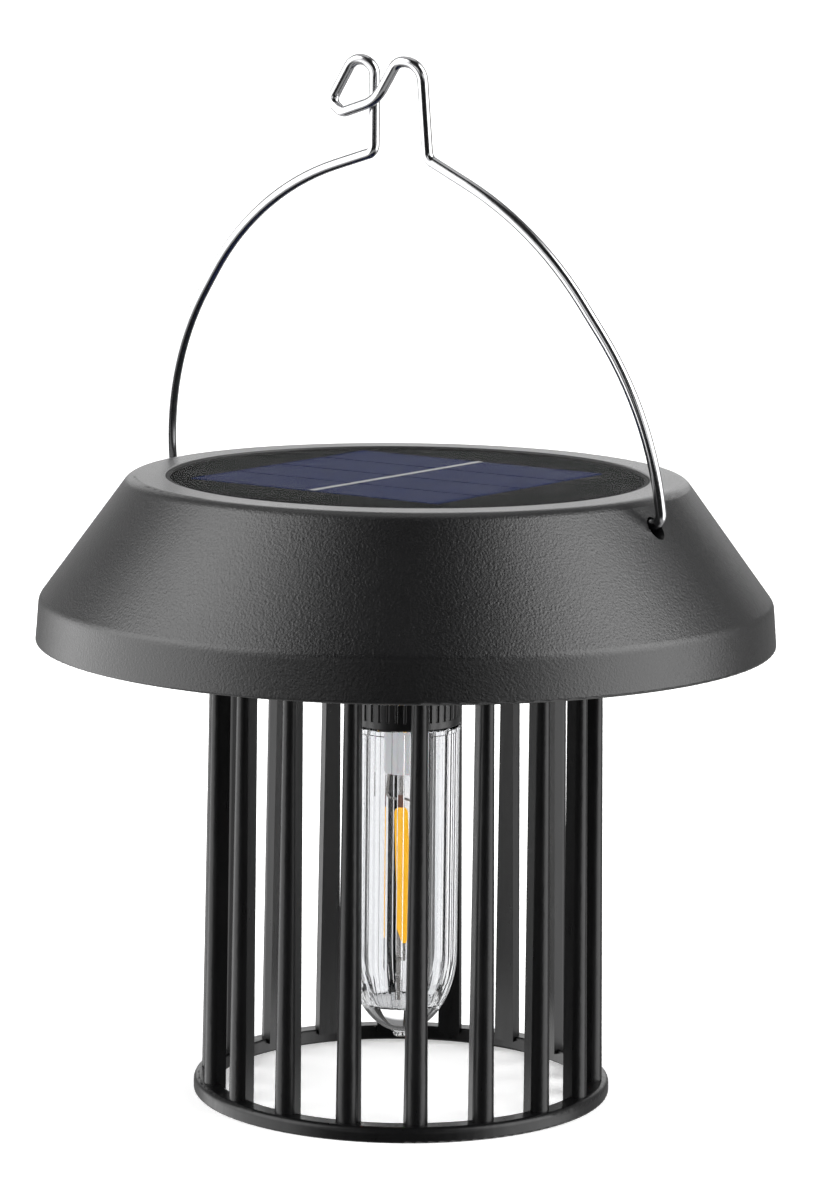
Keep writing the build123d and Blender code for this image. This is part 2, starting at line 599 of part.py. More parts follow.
# the strip that carries the filament's foot stands on the floor of the lens
stay_width, stay_thickness = STAY_SIZE
stay_x = foot_x - 1.2
stay_y = FILAMENT_THICKNESS / 2 + stay_thickness / 2 + JOIN
stay_top_z = foot_z + 2.6
with BuildPart() as filament_stay:
    with Locations((stay_x, stay_y, LENS_WELL_Z)):
        Box(stay_width, stay_thickness, stay_top_z - LENS_WELL_Z, align=BASE)
    with Locations((foot_x, 0, foot_z - JOIN)):
        Cylinder(*STAY_PIN, align=HUNG)
    with Locations((foot_x - 0.4, STAY_ARM[1] / 2, foot_z - STAY_PIN[1])):
        Box(*STAY_ARM)
save(filament_stay, "filament_stay")

# ---------------------------------------------------------------- battery
cell_axis = Plane(
    origin=(-BATTERY_LENGTH / 2, BATTERY_Y, BATTERY_Z), x_dir=(0, 1, 0), z_dir=(1, 0, 0)
)

with BuildPart() as battery_can:
    with BuildSketch(cell_axis):
        Circle(BATTERY_CAN_RADIUS)
    extrude(amount=BATTERY_LENGTH)
    fillet(battery_can.edges().filter_by(GeomType.CIRCLE), 0.6)
    with BuildSketch(cell_axis.offset(BATTERY_LENGTH)):
        Circle(BATTERY_NUB[0])
    extrude(amount=BATTERY_NUB[1])
save(battery_can, "battery_can")

with BuildPart() as battery_jacket:
    with BuildSketch(cell_axis.offset(JACKET_INSET)):
        Circle(BATTERY_RADIUS)
        Circle(BATTERY_CAN_RADIUS, mode=Mode.SUBTRACT)
    extrude(amount=BATTERY_LENGTH - 2 * JACKET_INSET)
save(battery_jacket, "battery_jacket")


def cradle_arch(radius, half_length):
    """A tunnel over the cell: straight sides up from the ledge, and a round crown."""
    side_height = BATTERY_Z - BATTERY_TUB_TOP_Z
    with BuildPart() as arch:
        with BuildSketch(Plane(origin=(-half_length, BATTERY_Y, BATTERY_Z),
                               x_dir=(0, 1, 0), z_dir=(1, 0, 0))):
            with BuildLine():
                Polyline((-radius, 0), (-radius, -side_height), (radius, -side_height),
                         (radius, 0))
                ThreePointArc((radius, 0), (0, radius), (-radius, 0))
            make_face()
        extrude(amount=2 * half_length)
    return arch.part


cradle_bore = BATTERY_RADIUS + LOOSE
notch_z = BATTERY_TUB_TOP_Z + LEAD_NOTCH_HEIGHT
with BuildPart() as battery_holder:
    add(cradle_arch(cradle_bore + CRADLE_WALL, CRADLE_HALF_LENGTH + CRADLE_WALL))
    add(cradle_arch(cradle_bore, CRADLE_HALF_LENGTH), mode=Mode.SUBTRACT)
    # a way out for the lead at each end
    with Locations((0, BATTERY_Y, notch_z)):
        Box(2 * (CRADLE_HALF_LENGTH + CRADLE_WALL), LEAD_NOTCH, LEAD_NOTCH,
            mode=Mode.SUBTRACT)
save(battery_holder, "battery_holder")

contact_foot_z = BATTERY_TUB_TOP_Z + CONTACT_RISE
with BuildPart() as contact_plate:
    with Locations((CRADLE_HALF_LENGTH - CONTACT_SIZE[0] / 2, BATTERY_Y, contact_foot_z)):
        Box(*CONTACT_SIZE, align=BASE)
save(contact_plate, "contact_plate")

# a leaf that stands against the end wall and bows out to press on the cell
leaf_thickness, leaf_width = LEAF
leaf_back = leaf_thickness / 2 + FIT
leaf_front = CRADLE_HALF_LENGTH - BATTERY_LENGTH / 2 - leaf_thickness / 2 - 2 * FIT
with BuildPart() as contact_spring:
    with BuildSketch(Plane(origin=(-CRADLE_HALF_LENGTH, BATTERY_Y + leaf_width / 2, 0),
                           x_dir=(1, 0, 0), z_dir=(0, -1, 0))):
        with BuildLine():
            FilletPolyline(
                (leaf_back, contact_foot_z), (leaf_back, BATTERY_Z + 5.5),
                (leaf_front, BATTERY_Z + 1.5), (leaf_front, BATTERY_Z - 1.5),
                (1.0, BATTERY_Z - 4.0), radius=[0.5, 1.5, 1.5])
        trace(line_width=leaf_thickness)
    extrude(amount=leaf_width)
save(contact_spring, "contact_spring")

with BuildPart() as battery_door:
    with Locations((0, BATTERY_Y, FLOOR_Z)):
        Box(*DOOR_SIZE, align=BASE)
    fillet(battery_door.edges().filter_by(Axis.Z), DOOR_CORNER)
    with Locations((DOOR_SCREW_X, BATTERY_Y, FLOOR_Z), (-DOOR_SCREW_X, BATTERY_Y, FLOOR_Z)):
        Cylinder(SMALL_SCREW_HOLE, DOOR_SIZE[2], align=BASE, mode=Mode.SUBTRACT)
        Cylinder(*DOOR_SCREW_SINK, align=BASE, mode=Mode.SUBTRACT)
save(battery_door, "battery_door")

with BuildPart() as door_seal:
    with BuildSketch(Plane.XY.offset(FLOOR_Z + DOOR_SIZE[2])):
        with Locations((0, BATTERY_Y)):
            Rectangle(DOOR_OPENING[0] + 2 * DOOR_SEAL_BORDER[0],
                      DOOR_OPENING[1] + 2 * DOOR_SEAL_BORDER[1])
            Rectangle(*DOOR_OPENING, mode=Mode.SUBTRACT)
    extrude(amount=DOOR_SEAL_THICKNESS)
save(door_seal, "door_seal")

door_screw = cross_head_screw(DOOR_SCREW, tip_down=False)
door_sink_z = FLOOR_Z + DOOR_SCREW_SINK[1]
screw_set(door_screw, [(x, BATTERY_Y, door_sink_z) for x in (DOOR_SCREW_X, -DOOR_SCREW_X)],
          "door_screws")

# ---------------------------------------------------------------- circuit board
board_top_z = BOARD_Z + BOARD_SIZE[2]

with BuildPart() as circuit_board:
    with Locations((*BOARD_CENTRE, BOARD_Z)):
        Box(*BOARD_SIZE, align=BASE)
    fillet(circuit_board.edges().filter_by(Axis.Z), BOARD_CORNER)
    with Locations(*board_screw_spots):
        Cylinder(SMALL_SCREW_HOLE, board_top_z, align=BASE, mode=Mode.SUBTRACT)
save(circuit_board, "circuit_board")

chip_spot = (board_x + CHIP_OFFSET[0], board_y + CHIP_OFFSET[1])
with BuildPart() as control_chip:
    with Locations((*chip_spot, board_top_z + CHIP_RISE)):
        Box(*CHIP_SIZE, align=BASE)
    with Locations((*chip_spot, board_top_z)):
        with GridLocations(*CHIP_LEG_PITCH, 4, 2):
            Box(*CHIP_LEG, align=BASE)
save(control_chip, "control_chip")

coil_spot = (board_x + COIL_OFFSET[0], board_y + COIL_OFFSET[1])
with BuildPart() as boost_inductor:
    with Locations((*coil_spot, board_top_z)):
        Cylinder(*COIL_FLANGE, align=BASE)
        Cylinder(*COIL_CORE, align=BASE)
    with Locations((*coil_spot, board_top_z + COIL_CORE[1] - COIL_FLANGE[1])):
        Cylinder(*COIL_FLANGE, align=BASE)
save(boost_inductor, "boost_inductor")

board_screw = cross_head_screw(BOARD_SCREW)
screw_set(board_screw, [(x, y, board_top_z) for x, y, _ in board_screw_spots],
          "board_screws")

# ---------------------------------------------------------------- slide switch
switch_x, switch_y = SWITCH_CENTRE
knob_x = switch_x - SWITCH_TRAVEL / 2
knob_cavity = (KNOB_FLANGE[0] + SWITCH_TRAVEL + 2 * LOOSE, KNOB_FLANGE[1] + 2 * LOOSE)

with BuildPart() as switch_housing:
    with Locations((switch_x, switch_y, FLOOR_TOP_Z)):
        Box(*SWITCH_SIZE, align=BASE)
    fillet(switch_housing.edges().filter_by(Axis.Z), SWITCH_CORNER)
    with Locations((switch_x, switch_y, FLOOR_TOP_Z)):
        Box(*knob_cavity, KNOB_FLANGE[2] + 2 * LOOSE, align=BASE, mode=Mode.SUBTRACT)
save(switch_housing, "switch_housing")

with BuildPart() as switch_knob:
    with Locations((knob_x, switch_y, FLOOR_TOP_Z + LOOSE)):
        Box(*KNOB_FLANGE, align=BASE)
        Box(*KNOB_SIZE, FLOOR_TOP_Z + LOOSE - KNOB_FOOT_Z, align=HUNG)
    groove_count, groove_pitch = KNOB_GROOVES
    groove_width, groove_depth = KNOB_GROOVE
    with Locations((knob_x, switch_y, KNOB_FOOT_Z)):
        with GridLocations(groove_pitch, 0, groove_count, 1):
            Box(groove_width, KNOB_SIZE[1], groove_depth, align=BASE, mode=Mode.SUBTRACT)
save(switch_knob, "switch_knob")


# ---------------------------------------------------------------- internal wires
def wire_pair(routes, bends, label):
    """Writes two insulated wires as one node."""
    with BuildPart() as pair:
        for points in routes:
            add(lead_wire(points, bends, LEAD_WIRE_RADIUS))
    save(pair, label)


panel_routes = [
    [(x, y, PANEL_BOARD_Z), (x, y, 112.0), (board_x + 9.0, y - 4.0, 109.0),
     (board_x + 9.0, y - 4.0, board_top_z)]
    for x, y in ((-12.0, 1.0), (-14.0, -1.5))
]
wire_pair(panel_routes, [3.0, 2.5], "panel_leads")

lamp_routes = [
    [(0.0, y, holder_top_z), (0.0, y, 105.0), (board_x + 14.0, y - 4.0, 107.0),
     (board_x + 14.0, y - 4.0, board_top_z)]
    for y in (2.0, -2.0)
]
wire_pair(lamp_routes, [3.0, 2.0], "lamp_leads")

battery_routes = [
    [(side * CRADLE_HALF_LENGTH, BATTERY_Y, notch_z),
     (side * (CRADLE_HALF_LENGTH + 5.0), BATTERY_Y, notch_z),
     (side * (CRADLE_HALF_LENGTH + 3.0), 34.0 + side, notch_z + 3.0),
     (board_x + 6.0 * side, 18.0, notch_z + 7.0),
     (board_x + 6.0 * side, 9.0, notch_z + 6.0),
     (board_x + 6.0 * side, 9.0, board_top_z)]
    for side in (-1, 1)
]
wire_pair(battery_routes, [2.0, 3.0, 3.0, 2.0], "battery_leads")


# ---------------------------------------------------------------- bail
def bail_arm(end_angle):
    """The two corners round which one arm's arc bends, outer one first."""
    centre_x = BAIL_HALF_WIDTH - BAIL_ARM_RADIUS * cos(radians(BAIL_ARM_START))
    centre_y = -BAIL_ARM_RADIUS * sin(radians(BAIL_ARM_START))
    quarter = (end_angle - BAIL_ARM_START) / 4
    reach = BAIL_ARM_RADIUS / cos(radians(quarter))
    angles = [radians(BAIL_ARM_START + quarter * n) for n in (1, 3)]
    return [(centre_x + reach * cos(a), centre_y + reach * sin(a)) for a in angles]


left_arm = [(-x, y, 0.0) for x, y in bail_arm(BAIL_ARM_ENDS[0])]
right_arm = [(x, y, 0.0) for x, y in bail_arm(BAIL_ARM_ENDS[1])]

# corners of the eye and hook (across, up, towards the viewer) and the radius at each
crook = [
    ((-1.4, 70.8, 0.0), 2.0),
    ((-1.1, 87.4, -2.1), 3.0),
    ((-5.2, 90.0, -1.6), 3.0),
    ((-11.0, 80.6, 0.2), 1.9),
    ((-7.6, 78.7, 1.1), 2.6),
    ((1.3, 81.4, 1.6), 8.0),
    ((6.5, 89.1, 0.6), 2.6),
    ((12.0, 88.9, 0.0), 3.6),
    ((11.7, 69.9, 0.0), 2.2),
]
bail_points = [
    (-BAIL_END, 0.0, 0.0), (-BAIL_HALF_WIDTH, 0.0, 0.0), *left_arm,
    *[corner for corner, _ in crook],
    *reversed(right_arm), (BAIL_HALF_WIDTH, 0.0, 0.0), (BAIL_END, 0.0, 0.0),
]
bail_bends = [
    BAIL_END_BEND, BAIL_ARM_BEND, BAIL_ARM_BEND, *[bend for _, bend in crook],
    BAIL_ARM_BEND, BAIL_ARM_BEND, BAIL_END_BEND,
]

with BuildPart() as bail_wire:
    with BuildLine(bail_plane(BAIL_LEAN)) as bail_route:
        FilletPolyline(*bail_points, radius=bail_bends)
    with BuildSketch(Plane(origin=bail_route.line @ 0, z_dir=bail_route.line % 0)):
        Circle(WIRE_RADIUS)
    sweep()
save(bail_wire, "bail_wire")
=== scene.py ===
import json
from math import atan2, cos, radians, sin, sqrt, tau

import bmesh
import bpy
from mathutils import Matrix, Vector


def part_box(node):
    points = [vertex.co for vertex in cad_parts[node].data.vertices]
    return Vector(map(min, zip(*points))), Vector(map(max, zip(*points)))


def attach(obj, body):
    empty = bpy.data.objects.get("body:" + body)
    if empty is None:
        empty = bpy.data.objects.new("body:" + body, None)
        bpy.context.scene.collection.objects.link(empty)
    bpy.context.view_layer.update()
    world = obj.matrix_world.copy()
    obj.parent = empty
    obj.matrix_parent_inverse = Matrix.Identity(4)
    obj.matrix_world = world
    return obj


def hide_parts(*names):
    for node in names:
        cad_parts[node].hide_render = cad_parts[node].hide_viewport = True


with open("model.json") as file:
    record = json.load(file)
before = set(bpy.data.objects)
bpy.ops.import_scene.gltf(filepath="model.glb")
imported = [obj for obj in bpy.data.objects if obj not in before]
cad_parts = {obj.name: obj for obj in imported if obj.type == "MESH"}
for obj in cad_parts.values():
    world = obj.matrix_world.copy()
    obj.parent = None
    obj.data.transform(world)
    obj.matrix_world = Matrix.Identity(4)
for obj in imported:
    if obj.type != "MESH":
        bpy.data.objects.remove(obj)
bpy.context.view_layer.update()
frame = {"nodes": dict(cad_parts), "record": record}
nodes = frame["nodes"]
MM = 0.001

# ------------------------------------------------------------------ camera
CAMERA_DISTANCE = 0.88029
CAMERA_HEIGHT = 0.24003
CAMERA_PITCH = 0.156        # radians below the horizon; yaw and roll are radians too
CAMERA_YAW = 0.0005
CAMERA_ROLL = 0.0111
SENSOR = 36.0
FOCAL_LENGTH = 131.92       # for a sensor whose long side is upright
CLIP_NEAR = 0.02
CLIP_FAR = 200.0


def make_camera():
    data = bpy.data.cameras.new("camera")
    data.sensor_width = SENSOR
    data.lens = FOCAL_LENGTH
    data.clip_start = CLIP_NEAR
    data.clip_end = CLIP_FAR
    camera = bpy.data.objects.new("camera", data)
    bpy.context.scene.collection.objects.link(camera)
    forward = Vector((sin(CAMERA_YAW) * cos(CAMERA_PITCH),
                      cos(CAMERA_YAW) * cos(CAMERA_PITCH), -sin(CAMERA_PITCH)))
    right = Vector((cos(CAMERA_YAW), -sin(CAMERA_YAW), 0.0))
    up = right.cross(forward)
    turned_right = right * cos(CAMERA_ROLL) + up * sin(CAMERA_ROLL)
    turned_up = up * cos(CAMERA_ROLL) - right * sin(CAMERA_ROLL)
    axes = Matrix((turned_right, turned_up, -forward)).transposed()
    camera.matrix_world = (
        Matrix.Translation((0.0, -CAMERA_DISTANCE, CAMERA_HEIGHT)) @ axes.to_4x4()
    )
    bpy.context.scene.camera = camera


# ------------------------------------------------------------------ studio
# most of a noise texture's values lie between these two
NOISE_LOW = 0.3
NOISE_HIGH = 0.7


class Nodes:
    """A node tree, with the few operations that the studio and the materials share."""

    def __init__(self, tree):
        self.tree = tree

    def add(self, kind, **settings):
        node = self.tree.nodes.new(kind)
        for key, value in settings.items():
            setattr(node, key, value)
        return node

    def join(self, source, target):
        self.tree.links.new(source, target)

    def between(self, source, low, high, start=NOISE_LOW, end=NOISE_HIGH, smooth=False):
        """The source from start to end, mapped to low and high."""
        node = self.add("ShaderNodeMapRange")
        if smooth:
            node.interpolation_type = "SMOOTHSTEP"
        self.join(source, node.inputs["Value"])
        for socket, value in (("From Min", start), ("From Max", end),
                              ("To Min", low), ("To Max", high)):
            node.inputs[socket].default_value = value
        return node.outputs["Result"]

    def combine(self, first, second, operation="ADD"):
        node = self.add("ShaderNodeMath", operation=operation)
        for value, socket in zip((first, second), node.inputs):
            if isinstance(value, (int, float)):
                socket.default_value = value
            else:
                self.join(value, socket)
        return node.outputs[0]

    def window(self, source, first, last, soft):
        """One between first and last degrees, with soft edges."""
        rise = self.between(source, 0.0, 1.0, radians(first - soft), radians(first + soft),
                            smooth=True)
        fall = self.between(source, 1.0, 0.0, radians(last - soft), radians(last + soft),
                            smooth=True)
        return self.combine(rise, fall, "MULTIPLY")


# each soft light: turn from the front towards +X and height above the horizon, from and to,
# softness of its edges, all in degrees, and strength
SOFT_BOXES = [
    ((49.0, 106.0), (-36.0, 14.0), 8.0, 4.8),
    ((50.0, 106.0), (14.0, 56.0), 8.0, 7.6),
    ((-136.0, -54.0), (-38.0, 12.0), 8.0, 4.0),
    ((-114.0, -50.0), (14.0, 56.0), 8.0, 6.2),
    ((156.0, 200.0), (4.0, 22.0), 3.0, 1.9),
    ((-200.0, -158.0), (4.0, 22.0), 3.0, 1.7),
    ((18.0, 46.0), (-2.0, 14.0), 4.0, 1.8),
    ((-46.0, -18.0), (-2.0, 14.0), 4.0, 1.8),
    ((-200.0, 200.0), (80.0, 100.0), 6.0, 0.4),
    ((-200.0, 200.0), (-100.0, -38.0), 10.0, 0.7),
]
STUDIO_DARK = 0.02
WALL_BEHIND = 0.40
WALL_START = 0.14                   # y of the direction where the wall behind begins
WALL_FULL = 0.42                    # and where it has its full strength
BACKDROP_WHITE = 1.3                # seen by the camera only


def make_studio():
    """White for the camera; for the object a dim room with soft boxes all round."""
    world = bpy.data.worlds.new("studio")
    bpy.context.scene.world = world
    world.use_nodes = True
    world.node_tree.nodes.clear()
    room = Nodes(world.node_tree)
    split = room.add("ShaderNodeSeparateXYZ")
    room.join(room.add("ShaderNodeTexCoord").outputs["Generated"], split.inputs[0])
    x, y, z = split.outputs
    turn = room.combine(x, room.combine(y, -1.0, "MULTIPLY"), "ARCTAN2")
    rise = room.combine(z, 0.0, "ARCSINE")
    total = room.between(y, STUDIO_DARK, WALL_BEHIND, WALL_START, WALL_FULL)
    for (first, last), (low, high), soft, strength in SOFT_BOXES:
        spot = room.combine(room.window(turn, first, last, soft),
                            room.window(rise, low, high, soft), "MULTIPLY")
        total = room.combine(total, room.combine(spot, strength, "MULTIPLY"))
    lit = room.add("ShaderNodeBackground")
    room.join(total, lit.inputs["Strength"])
    white = room.add("ShaderNodeBackground")
    white.inputs["Strength"].default_value = BACKDROP_WHITE
    choice = room.add("ShaderNodeMixShader")
    room.join(room.add("ShaderNodeLightPath").outputs["Is Camera Ray"], choice.inputs[0])
    room.join(lit.outputs[0], choice.inputs[1])
    room.join(white.outputs[0], choice.inputs[2])
    room.join(choice.outputs[0], room.add("ShaderNodeOutputWorld").inputs["Surface"])


LAMP_PLACE = (-0.1, 0.5, 1.6)
LAMP_TARGET = (0.0, 0.0, 0.1)
LAMP_SIDE = 1.2
LAMP_WATTS = 3.0


def make_overhead_lamp():
    """A square lamp above and behind the object, aimed at it."""
    data = bpy.data.lights.new("overhead", "AREA")
    data.shape = "SQUARE"
    data.size = LAMP_SIDE
    data.energy = LAMP_WATTS
    lamp = bpy.data.objects.new("overhead", data)
    bpy.context.scene.collection.objects.link(lamp)
    lamp.location = LAMP_PLACE
    aim = Vector(LAMP_TARGET) - Vector(LAMP_PLACE)
    lamp.rotation_euler = aim.to_track_quat("-Z", "Y").to_euler()


FLOOR_RADIUS = 60.0
FLOOR_SIDES = 64
FLOOR_WHITE = (0.90, 0.90, 0.90)
FLOOR_GLOW = 0.36                   # keeps the floor white where the light is soft


def make_floor():
    mesh = bpy.data.meshes.new("floor")
    spots = [(FLOOR_RADIUS * cos(tau * i / FLOOR_SIDES),
              FLOOR_RADIUS * sin(tau * i / FLOOR_SIDES), 0.0) for i in range(FLOOR_SIDES)]
    mesh.from_pydata(spots, [], [tuple(range(FLOOR_SIDES))])
    floor = bpy.data.objects.new("floor", mesh)
    bpy.context.scene.collection.objects.link(floor)
    floor.visible_glossy = False
    pale = Surface("floor_pale", FLOOR_WHITE, roughness=0.9, specular_ior_level=0.0)
    pale.glow((1.0, 1.0, 1.0), strength=FLOOR_GLOW)
    pale.vary(pale.noise(scale=0.6, detail=2), amount=0.012)
    floor.data.materials.append(pale.material)


# ------------------------------------------------------------------ materials
class Surface(Nodes):
    """One procedural material: a Principled shader and the nodes that feed it."""

    def __init__(self, name, color, **sockets):
        self.material = bpy.data.materials.new(name)
        self.material.use_nodes = True
        super().__init__(self.material.node_tree)
        self.shader = self.tree.nodes["Principled BSDF"]
        self.color = color
        self.shader.inputs["Base Color"].default_value = (*color, 1.0)
        for socket, value in sockets.items():
            title = socket.replace("_", " ").title().replace("Ior", "IOR")
            self.shader.inputs[title].default_value = value
        self.place = self.add("ShaderNodeTexCoord").outputs["Object"]
        self.relief = None

    def scaled(self, scale, turn=(0.0, 0.0, 0.0)):
        """Object coordinates with their own scale along each axis."""
        mapping = self.add("ShaderNodeMapping")
        mapping.inputs["Scale"].default_value = scale
        mapping.inputs["Rotation"].default_value = turn
        self.join(self.place, mapping.inputs["Vector"])
        return mapping.outputs["Vector"]

    def noise(self, scale, detail=3.0, roughness=0.5, warp=0.0, place=None):
        node = self.add("ShaderNodeTexNoise")
        node.inputs["Scale"].default_value = scale
        node.inputs["Detail"].default_value = detail
        node.inputs["Roughness"].default_value = roughness
        node.inputs["Distortion"].default_value = warp
        self.join(place or self.place, node.inputs["Vector"])
        return node.outputs["Fac"]

    def cells(self, scale, feature="F1", output="Distance", place=None):
        node = self.add("ShaderNodeTexVoronoi", feature=feature)
        node.inputs["Scale"].default_value = scale
        self.join(place or self.place, node.inputs["Vector"])
        return node.outputs[output]

    def waves(self, scale, direction, warp=0.0):
        node = self.add("ShaderNodeTexWave", bands_direction=direction)
        node.inputs["Scale"].default_value = scale
        node.inputs["Distortion"].default_value = warp
        self.join(self.place, node.inputs["Vector"])
        return node.outputs["Fac"]

    def mix(self, factor, first, second):
        node = self.add("ShaderNodeMix", data_type="RGBA")
        self.join(factor, node.inputs["Factor"])
        for value, socket in ((first, node.inputs[6]), (second, node.inputs[7])):
            if isinstance(value, tuple):
                socket.default_value = (*value, 1.0)
            else:
                self.join(value, socket)
        return node.outputs[2]

    def vary(self, source, amount, tint=None):
        """Colour that runs with the source from a darker shade to a lighter one or a tint."""
        dark = tuple(c * (1.0 - amount) for c in self.color)
        light = tint or tuple(min(c * (1.0 + amount), 1.0) for c in self.color)
        self.paint(self.mix(self.between(source, 0.0, 1.0), dark, light))

    def paint(self, color):
        self.join(color, self.shader.inputs["Base Color"])

    def glow(self, color, strength):
        self.shader.inputs["Emission Color"].default_value = (*color, 1.0)
        self.shader.inputs["Emission Strength"].default_value = strength

    def rough(self, source, low, high, start=NOISE_LOW, end=NOISE_HIGH):
        self.join(self.between(source, low, high, start, end),
                  self.shader.inputs["Roughness"])

    def bump(self, height, depth, strength=1.0):
        """Adds relief of a depth in millimetres, on top of any relief before it."""
        node = self.add("ShaderNodeBump")
        node.inputs["Strength"].default_value = strength
        node.inputs["Distance"].default_value = depth * MM
        self.join(height, node.inputs["Height"])
        if self.relief is not None:
            self.join(self.relief, node.inputs["Normal"])
        self.relief = node.outputs["Normal"]
        self.join(self.relief, self.shader.inputs["Normal"])


def grained_plastic(name, color, rough, grain, depth, gloss=0.5):
    """Moulded plastic with a leather-like grain; grain is the size of one pebble, in mm."""
    surface = Surface(name, color, specular_ior_level=gloss)
    per_metre = 1.0 / (grain * MM)
    spread = 0.03
    pebbles = surface.cells(scale=per_metre, feature="SMOOTH_F1")
    creases = surface.noise(scale=per_metre * 0.9, detail=4, roughness=0.65, warp=0.6)
    broad = surface.noise(scale=28.0, detail=3)
    fine = surface.noise(scale=per_metre * 3.5, detail=2)
    surface.vary(broad, amount=0.16)
    worn = surface.combine(surface.between(fine, -spread, spread),
                           surface.between(broad, rough - spread, rough + spread))
    surface.join(worn, surface.shader.inputs["Roughness"])
    surface.bump(creases, depth=depth)
    surface.bump(pebbles, depth=depth * 0.6)
    surface.bump(broad, depth=0.25, strength=0.3)
    return surface.material


def moulded_plastic(name, color, rough, depth=0.012, flow=(1.0, 1.0, 0.12), gloss=0.5):
    """Smoother moulded plastic with faint flow marks and a few scuffs."""
    surface = Surface(name, color, specular_ior_level=gloss)
    spread = 0.05
    scuffed = 0.08
    drawn = surface.noise(scale=700.0, detail=3, roughness=0.6, place=surface.scaled(flow))
    fine = surface.noise(scale=4200.0, detail=2)
    broad = surface.noise(scale=60.0, detail=3)
    scuffs = surface.cells(scale=900.0, feature="DISTANCE_TO_EDGE",
                           place=surface.scaled((1.0, 0.25, 0.4), turn=(0.5, 0.3, 0.2)))
    surface.vary(broad, amount=0.15)
    worn = surface.combine(surface.between(drawn, rough - spread, rough + spread),
                           surface.between(scuffs, scuffed, 0.0, start=0.0, end=0.02))
    surface.join(worn, surface.shader.inputs["Roughness"])
    surface.bump(fine, depth=depth)
    surface.bump(drawn, depth=depth * 1.6)
    return surface.material


def clear_plastic(name, color, rough, ior=1.38):
    """Clear moulded plastic, with faint ripples along it."""
    surface = Surface(name, color, transmission_weight=1.0, ior=ior, roughness=rough)
    ripples = surface.noise(scale=160.0, detail=1, place=surface.scaled((1.0, 1.0, 0.1)))
    surface.bump(ripples, depth=0.001)
    surface.vary(surface.noise(scale=90.0, detail=2), amount=0.012)
    return surface.material


def panel_resin():
    """Resin so clear that little more than its sheen shows."""
    surface = Surface("panel_resin", (0.06, 0.062, 0.066), alpha=0.03, ior=1.45)
    speckle = surface.noise(scale=2600.0, detail=2)
    surface.vary(surface.noise(scale=55.0, detail=2), amount=0.05)
    surface.rough(surface.noise(scale=120.0, detail=3), low=0.22, high=0.32)
    surface.bump(speckle, depth=0.01)
    return surface.material


SILICON = (0.011, 0.016, 0.055)
SILICON_DARK = (0.0085, 0.013, 0.045)
SILICON_LIGHT = (0.012, 0.018, 0.062)
SILICON_VIOLET = (0.0105, 0.0145, 0.050)


def cell_silicon():
    """Blue crystalline silicon: angular grains of slightly different blues."""
    surface = Surface("cell_silicon", SILICON, specular_ior_level=0.0)
    flat = surface.scaled((1.0, 1.0, 0.02))
    grains = surface.cells(scale=420.0, output="Color", place=flat)
    split = surface.add("ShaderNodeSeparateColor")
    surface.join(grains, split.inputs[0])
    blue = surface.mix(split.outputs[0], SILICON_DARK, SILICON_LIGHT)
    share = surface.between(split.outputs[1], 0.0, 0.35, start=0.0, end=1.0)
    surface.paint(surface.mix(share, blue, SILICON_VIOLET))
    surface.rough(split.outputs[2], low=0.32, high=0.48, start=0.0, end=1.0)
    surface.bump(surface.noise(scale=3000.0, detail=2), depth=0.004)
    return surface.material


def panel_backing():
    """A dark board with a fine weave."""
    surface = Surface("panel_backing", (0.011, 0.0115, 0.011), specular_ior_level=0.0)
    surface.vary(surface.noise(scale=70.0, detail=3), amount=0.18)
    surface.rough(surface.noise(scale=160.0, detail=3), low=0.55, high=0.7)
    weave = surface.combine(surface.waves(scale=420.0, direction="X"),
                            surface.waves(scale=420.0, direction="Y"), "MULTIPLY")
    surface.bump(weave, depth=0.01)
    return surface.material


def metal(name, color, low, high, scratch=0.004, stain=0.08):
    """Bare metal, with a roughness from low to high."""
    surface = Surface(name, color, metallic=1.0)
    grain = surface.noise(scale=900.0, detail=4, roughness=0.6)
    broad = surface.noise(scale=120.0, detail=3)
    surface.vary(broad, amount=stain)
    surface.rough(grain, low, high)
    surface.bump(grain, depth=scratch)
    return surface.material


def rubber(name, color):
    """Soft, dull rubber with a fine bloom."""
    surface = Surface(name, color, specular_ior_level=0.3)
    surface.vary(surface.noise(scale=90.0, detail=3), amount=0.25)
    surface.rough(surface.noise(scale=600.0, detail=3), low=0.7, high=0.9)
    surface.bump(surface.noise(scale=2600.0, detail=3), depth=0.02)
    return surface.material


AMBER = (0.95, 0.50, 0.015)
AMBER_LIGHT = (0.97, 0.56, 0.03)
# colour of the filament's painted glow
AMBER_PAINTED_GLOW = (1.0, 0.50, 0.015)


def phosphor():
    """Silicone with phosphor in it, and a painted glow that stands in for light reaching it
    through the lens.
    """
    surface = Surface("filament_phosphor", AMBER, roughness=0.42, subsurface_weight=0.2,
                      subsurface_scale=0.0006)
    # painted glow: emission that stands in for light reaching the unlit phosphor through the lens
    surface.glow(AMBER_PAINTED_GLOW, strength=0.95)
    surface.vary(surface.noise(scale=260.0, detail=3), amount=0.10, tint=AMBER_LIGHT)
    surface.bump(surface.noise(scale=1500.0, detail=3), depth=0.02)
    return surface.material


def frosted(name, color, strength):
    """Translucent plastic, with a painted glow that stands in for the light that comes through it.
    """
    surface = Surface(name, color, subsurface_weight=0.5, subsurface_scale=0.002)
    # painted glow: emission standing in for light that comes through the plastic
    surface.glow((0.95, 0.96, 1.0), strength)
    surface.vary(surface.noise(scale=300.0, detail=3), amount=0.05)
    surface.rough(surface.noise(scale=800.0, detail=2), low=0.3, high=0.45)
    surface.bump(surface.noise(scale=1800.0, detail=2), depth=0.01)
    return surface.material


